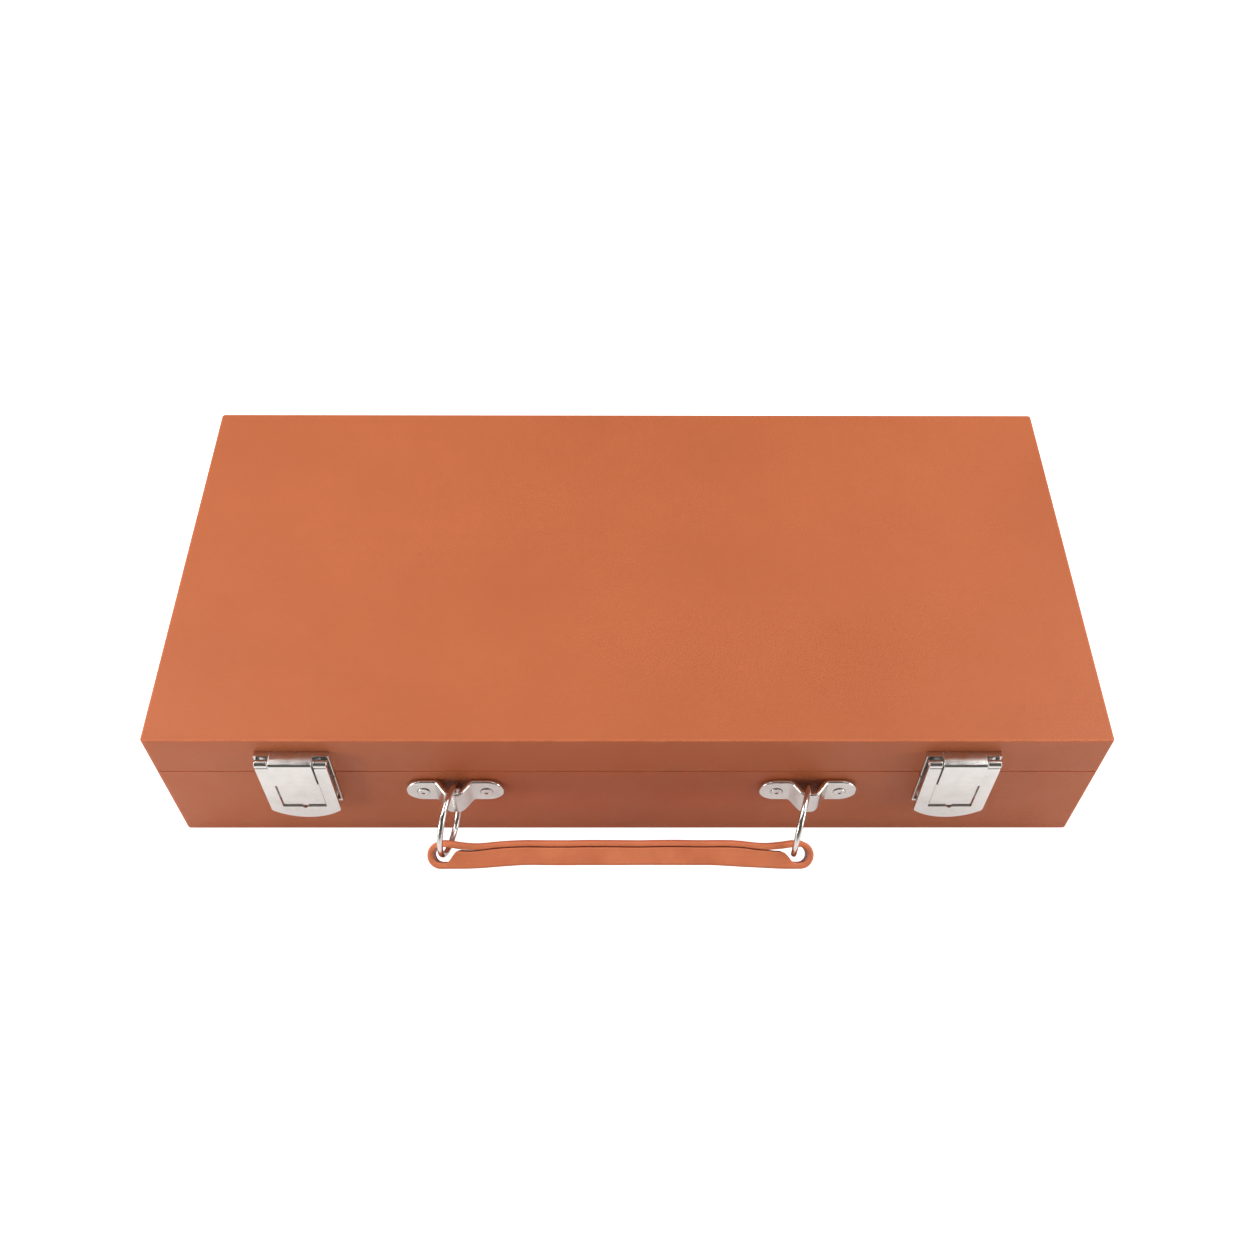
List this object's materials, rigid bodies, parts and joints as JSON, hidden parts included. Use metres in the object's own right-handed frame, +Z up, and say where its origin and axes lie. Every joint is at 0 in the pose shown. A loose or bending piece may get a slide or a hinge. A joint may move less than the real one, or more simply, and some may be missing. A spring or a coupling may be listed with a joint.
{
  "type": "backgammon set",
  "caption": "Leatherette backgammon case that opens flat into the board, with hasp latches, a ring-hung strap handle, and checkers, dice and cups stored inside.",
  "frame": {"origin": "centre of the case's underside, closed", "axes": "+X along the case's length, to the right seen from the front; -Y is the front, with the latches and handle; +Z up"},
  "size_m": [0.38, 0.2168, 0.072],
  "materials": {
    "tan_leatherette": "embossed cross-grain leatherette, satin",
    "strap_leather": "smooth leather strap, satin, cut edges",
    "field_cloth": "pale playing field, fine matt grain",
    "point_orange": "inlaid points, matt",
    "point_brown": "inlaid points, matt",
    "stitch_thread": "waxed thread",
    "nickel": "nickel plate, polished with fine scratches",
    "brass": "plated hinge, satin",
    "ivory_resin": "polished resin, faintly marbled",
    "brown_resin": "polished resin, faintly marbled",
    "cup_leather": "dark leatherette"
  },
  "bodies": {
    "base": {"base_shell": "tan_leatherette", "base_field_frame": "tan_leatherette", "base_playing_panel": "field_cloth", "hinge_leaf_base": "brass", "hinge_pin": "brass", "latch_left_keeper": "nickel", "bracket_left": "nickel", "dice_cup_left": "cup_leather", "latch_right_keeper": "nickel", "bracket_right": "nickel", "dice_cup_right": "cup_leather", "checker_ivory_01": "ivory_resin", "checker_ivory_02": "ivory_resin", "checker_ivory_03": "ivory_resin", "checker_ivory_04": "ivory_resin", "checker_ivory_05": "ivory_resin", "checker_ivory_06": "ivory_resin", "checker_ivory_07": "ivory_resin", "checker_ivory_08": "ivory_resin", "checker_ivory_09": "ivory_resin", "checker_ivory_10": "ivory_resin", "checker_ivory_11": "ivory_resin", "checker_ivory_12": "ivory_resin", "checker_ivory_13": "ivory_resin", "checker_ivory_14": "ivory_resin", "checker_ivory_15": "ivory_resin", "die_ivory_1": "ivory_resin", "die_ivory_2": "ivory_resin", "checker_brown_01": "brown_resin", "checker_brown_02": "brown_resin", "checker_brown_03": "brown_resin", "checker_brown_04": "brown_resin", "checker_brown_05": "brown_resin", "checker_brown_06": "brown_resin", "checker_brown_07": "brown_resin", "checker_brown_08": "brown_resin", "checker_brown_09": "brown_resin", "checker_brown_10": "brown_resin", "checker_brown_11": "brown_resin", "checker_brown_12": "brown_resin", "checker_brown_13": "brown_resin", "checker_brown_14": "brown_resin", "checker_brown_15": "brown_resin", "die_brown_1": "brown_resin", "die_brown_2": "brown_resin", "doubling_cube": "ivory_resin"},
    "lid": {"lid_shell": "tan_leatherette", "lid_divider_left": "tan_leatherette", "lid_divider_right": "tan_leatherette", "lid_playing_panel": "field_cloth", "hinge_leaf_lid": "brass", "latch_left_lid_plate": "nickel", "latch_left_hinge_pin": "nickel", "latch_right_lid_plate": "nickel", "latch_right_hinge_pin": "nickel"},
    "hasp_left": {"latch_left_hasp": "nickel"},
    "hasp_right": {"latch_right_hasp": "nickel"},
    "handle": {"handle_strap": "strap_leather"},
    "ring_left": {"ring_left": "nickel"},
    "ring_right": {"ring_right": "nickel"}
  },
  "joints": [
    {"name": "lid_hinge", "type": "hinge", "parent": "base", "child": "lid", "pos_m": [0, 0.0914, 0.04865], "axis": [-1, 0, 0], "range_deg": [0, 180]},
    {"name": "latch_left_hasp_hinge", "type": "hinge", "parent": "lid", "child": "hasp_left", "pos_m": [-0.1325, -0.0941, 0.0624], "axis": [-1, 0, 0], "range_deg": [0, 160]},
    {"name": "latch_right_hasp_hinge", "type": "hinge", "parent": "lid", "child": "hasp_right", "pos_m": [0.1325, -0.0941, 0.0624], "axis": [-1, 0, 0], "range_deg": [0, 160]},
    {"name": "handle_swing", "type": "hinge", "parent": "base", "child": "handle", "pos_m": [0, -0.1046, 0.0354], "axis": [-1, 0, 0], "range_deg": [-40, 100]},
    {"name": "ring_left_turn", "type": "hinge", "parent": "base", "child": "ring_left", "pos_m": [-0.072, -0.1046, 0.0354], "axis": [-0.9816, 0.1908, 0], "range_deg": [-40, 100]},
    {"name": "ring_right_turn", "type": "hinge", "parent": "base", "child": "ring_right", "pos_m": [0.0703, -0.1046, 0.0354], "axis": [-0.9613, 0.2756, 0], "range_deg": [-40, 100]}
  ],
  "couplings": [
    {"joint": "ring_left_turn", "follows": "handle_swing", "ratio": 1},
    {"joint": "ring_right_turn", "follows": "handle_swing", "ratio": 1}
  ]
}
